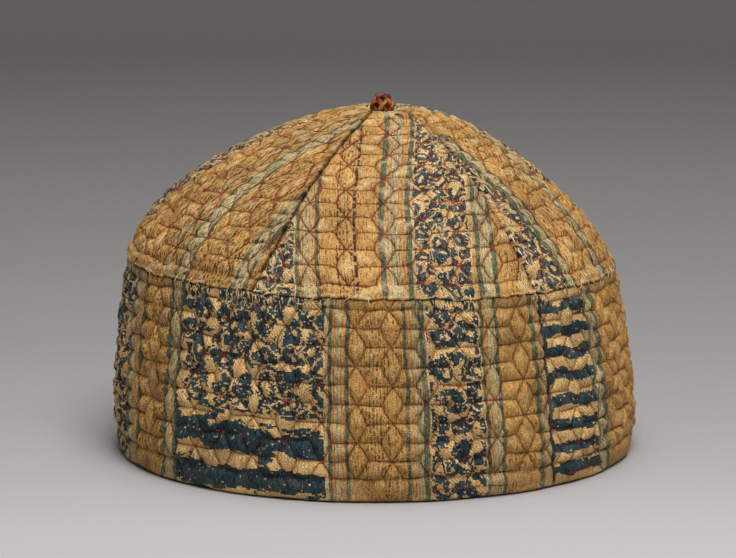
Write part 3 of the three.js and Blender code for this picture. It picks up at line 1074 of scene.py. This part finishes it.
# How coarse the figure is, the wear and painted highlight on its puffs, the soil and painted shade in its
# stitch lines, how creased the silk, and its stray threads and the floats' slant
BAND_SILK = {"coarse": 1.3, "wear_and_highlight": 0.28, "crease_soil_and_shade": 0.42, "creased": 1.2, "stray_share": 0.5, "slant": -0.5}
FLAT_SILK = {"coarse": 0.8, "wear_and_highlight": 0.6, "crease_soil_and_shade": 0.45, "creased": 0.8, "stray_share": 0.6, "slant": -0.9}
PUFFED_SILK = {"coarse": 0.8, "wear_and_highlight": 0.55, "crease_soil_and_shade": 0.35, "creased": 1.8, "stray_share": 0.9, "slant": -0.6}

lining = lining_cloth()
band.data.materials.append(silk("band_silk", degrees_to_mm(BAND_STRIPES), **BAND_SILK))
band.data.materials.append(lining)
for k, gore in enumerate(gores):
    cloth = FLAT_SILK if k == 0 else PUFFED_SILK
    gore.data.materials.append(silk(f"gore_{k + 1}_silk", GORE_STRIPES[k], **cloth))
    gore.data.materials.append(lining)
red_thread = thread("quilting_thread", THREAD_BROWN, THREAD_RED)
band_stitches.data.materials.append(red_thread)
crown_stitches.data.materials.append(red_thread)
loose_end.data.materials.append(red_thread)
overcast_stitches.data.materials.append(thread("overcast_thread", srgb(168, 138, 92), srgb(226, 202, 156)))
core.data.materials.append(thread("button_thread", srgb(84, 8, 14), srgb(150, 22, 26)))
knot.data.materials.append(thread("button_cord", srgb(84, 22, 14), srgb(178, 118, 60), 0.45, 300))

for piece in padded + cords:
    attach(piece, "root")

# Studio: a pale floor that curves up to a backdrop all round, with painted shade darkening it towards the
# back, soft lights and the camera


def backdrop():
    """One swept sheet: flat round the cap, curving up to a wall, with painted shade that makes it darker
    towards the back.
    """
    bpy.ops.mesh.primitive_grid_add(x_subdivisions=96, y_subdivisions=60, size=1)
    sheet = bpy.context.active_object
    sheet.name = "studio_floor"
    bend = np.linspace(0, math.pi / 2, 31)[1:]
    radius = np.concatenate([np.linspace(0, 1.5, 20), 1.5 + 0.9 * np.sin(bend), np.full(11, 2.4)])
    height = np.concatenate([np.zeros(20), 0.9 - 0.9 * np.cos(bend), np.linspace(0.9, 2.6, 12)[1:]])
    flat = np.empty(len(sheet.data.vertices) * 3)
    sheet.data.vertices.foreach_get("co", flat)
    flat = flat.reshape(-1, 3) + 0.5
    turn = flat[:, 0] * 2 * math.pi
    level = np.rint(flat[:, 1] * 60).astype(int)
    points = np.stack([radius[level] * np.cos(turn), radius[level] * np.sin(turn), height[level] - 0.0001], 1)
    sheet.data.vertices.foreach_set("co", points.ravel())
    bpy.ops.object.mode_set(mode="EDIT")
    bpy.ops.mesh.select_all(action="SELECT")
    bpy.ops.mesh.remove_doubles(threshold=0.0001)
    bpy.ops.mesh.normals_make_consistent(inside=True)
    bpy.ops.object.mode_set(mode="OBJECT")
    bpy.ops.object.shade_smooth()
    shader = Shader("studio_paper")
    place = shader.add("ShaderNodeTexCoord", out=3)
    _, y, z = shader.split(place)
    # Painted shade: the paper's tone falls from the front towards the back and up the wall
    painted_falloff = [
        (-0.3, 188), (-0.135, 184), (-0.05, 172), (0.05, 163),
        (0.18, 155), (0.41, 149), (0.9, 148), (2.1, 158),
    ]
    stops = [((back + 0.3) / 2.4, srgb(tone + 2, tone - 1, tone - 1)) for back, tone in painted_falloff]
    colour = shader.add("ShaderNodeValToRGB", {"stops": stops}, {0: (y + z + 0.3) / 2.4})
    soft = shader.noise(place, 30, 2)
    sheet.data.materials.append(shader.finish(colour, 0.9, shader.bump(soft, 0.0001, 0.1)))


backdrop()


LIGHT_AIM = (0, 0, 0.06)


def area_light(name, place, size, watts):
    light = bpy.data.lights.new(name, "AREA")
    light.shape = "DISK"
    light.size = size
    light.energy = watts
    lamp = bpy.data.objects.new(name, light)
    lamp.location = place
    away = np.array(place) - np.array(LIGHT_AIM)
    flat = math.hypot(away[0], away[1])
    lamp.rotation_euler = (math.atan2(flat, away[2]), 0, math.atan2(away[0], -away[1]))
    bpy.context.collection.objects.link(lamp)


area_light("key", (0.2, -0.75, 1.25), 0.8, 15.2)
area_light("top", (0.05, -0.05, 1.5), 1.0, 10.2)
area_light("fill_left", (-1.2, -0.9, 0.9), 1.0, 0.3)
area_light("fill_right", (1.3, -0.7, 0.8), 1.0, 0.2)

world = bpy.data.worlds.new("studio_air")
world.use_nodes = True
air = world.node_tree.nodes["Background"]
air.inputs["Color"].default_value = (1, 0.98, 0.97, 1)
air.inputs["Strength"].default_value = 0.17
bpy.context.scene.world = world
bpy.context.scene.view_settings.view_transform = "Standard"

CAMERA = (-0.0026, -1.1, 0.2504)
CAMERA_AIM = (-0.0026, 0, 0.0609)
lens = bpy.data.cameras.new("camera")
lens.lens = 149.7
lens.sensor_width = 36
lens.clip_start = 0.01
camera = bpy.data.objects.new("camera", lens)
camera.location = CAMERA
camera.rotation_euler = (math.atan2(CAMERA_AIM[1] - CAMERA[1], CAMERA[2] - CAMERA_AIM[2]), 0, 0)
bpy.context.collection.objects.link(camera)
bpy.context.scene.camera = camera
